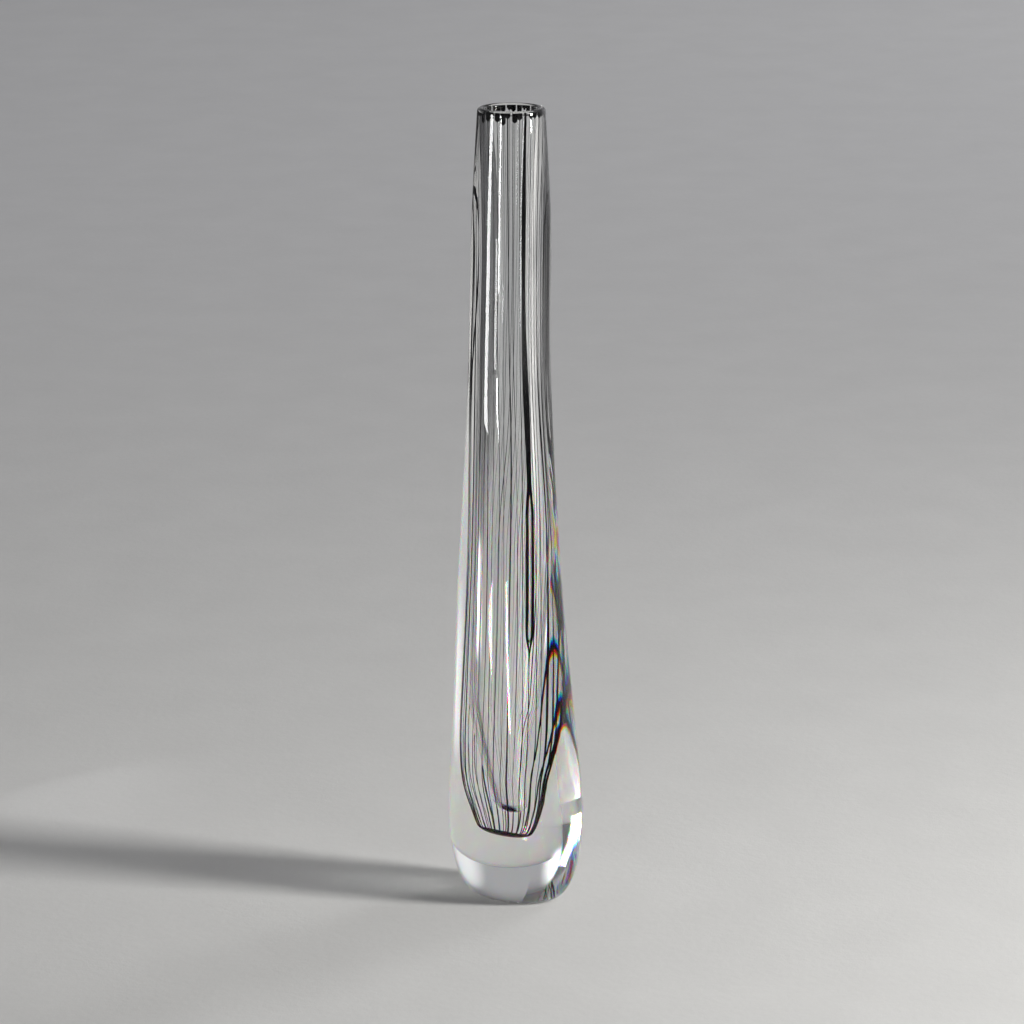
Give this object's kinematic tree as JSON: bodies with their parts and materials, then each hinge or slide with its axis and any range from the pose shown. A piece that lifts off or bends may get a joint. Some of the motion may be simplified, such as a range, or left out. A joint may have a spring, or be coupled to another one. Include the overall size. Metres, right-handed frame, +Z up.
{
  "type": "cased glass vase",
  "caption": "Tall slender clear glass vase with a heavy base, fine black threads laid along its inner bubble and a small round mouth.",
  "frame": {"origin": "middle of the bounding box's bottom, on the flat foot under the centre of the belly", "axes": "+Z up along the vase; +X towards the side where the belly bulges further from the bubble's axis"},
  "size_m": [0.0594, 0.063, 0.35],
  "materials": {
    "clear_crystal": "clear blown glass with a fire-polished surface",
    "black_glass": "opaque black glass, drawn out in threads"
  },
  "bodies": {
    "root": {"outer_casing": "clear_crystal", "inner_bubble": "clear_crystal", "thread_pool": "black_glass", "thread_01": "black_glass", "thread_02": "black_glass", "thread_03": "black_glass", "thread_04": "black_glass", "thread_05": "black_glass", "thread_06": "black_glass", "thread_07": "black_glass", "thread_08": "black_glass", "thread_09": "black_glass", "thread_10": "black_glass", "thread_11": "black_glass", "thread_12": "black_glass", "thread_13": "black_glass", "thread_14": "black_glass", "thread_15": "black_glass", "thread_16": "black_glass", "thread_17": "black_glass", "thread_18": "black_glass", "thread_19": "black_glass", "thread_20": "black_glass", "thread_21": "black_glass", "thread_22": "black_glass", "thread_23": "black_glass", "thread_24": "black_glass", "thread_25": "black_glass", "thread_26": "black_glass", "thread_27": "black_glass", "thread_28": "black_glass", "thread_29": "black_glass", "thread_30": "black_glass", "thread_31": "black_glass", "thread_32": "black_glass", "thread_33": "black_glass", "thread_34": "black_glass"}
  },
  "joints": []
}
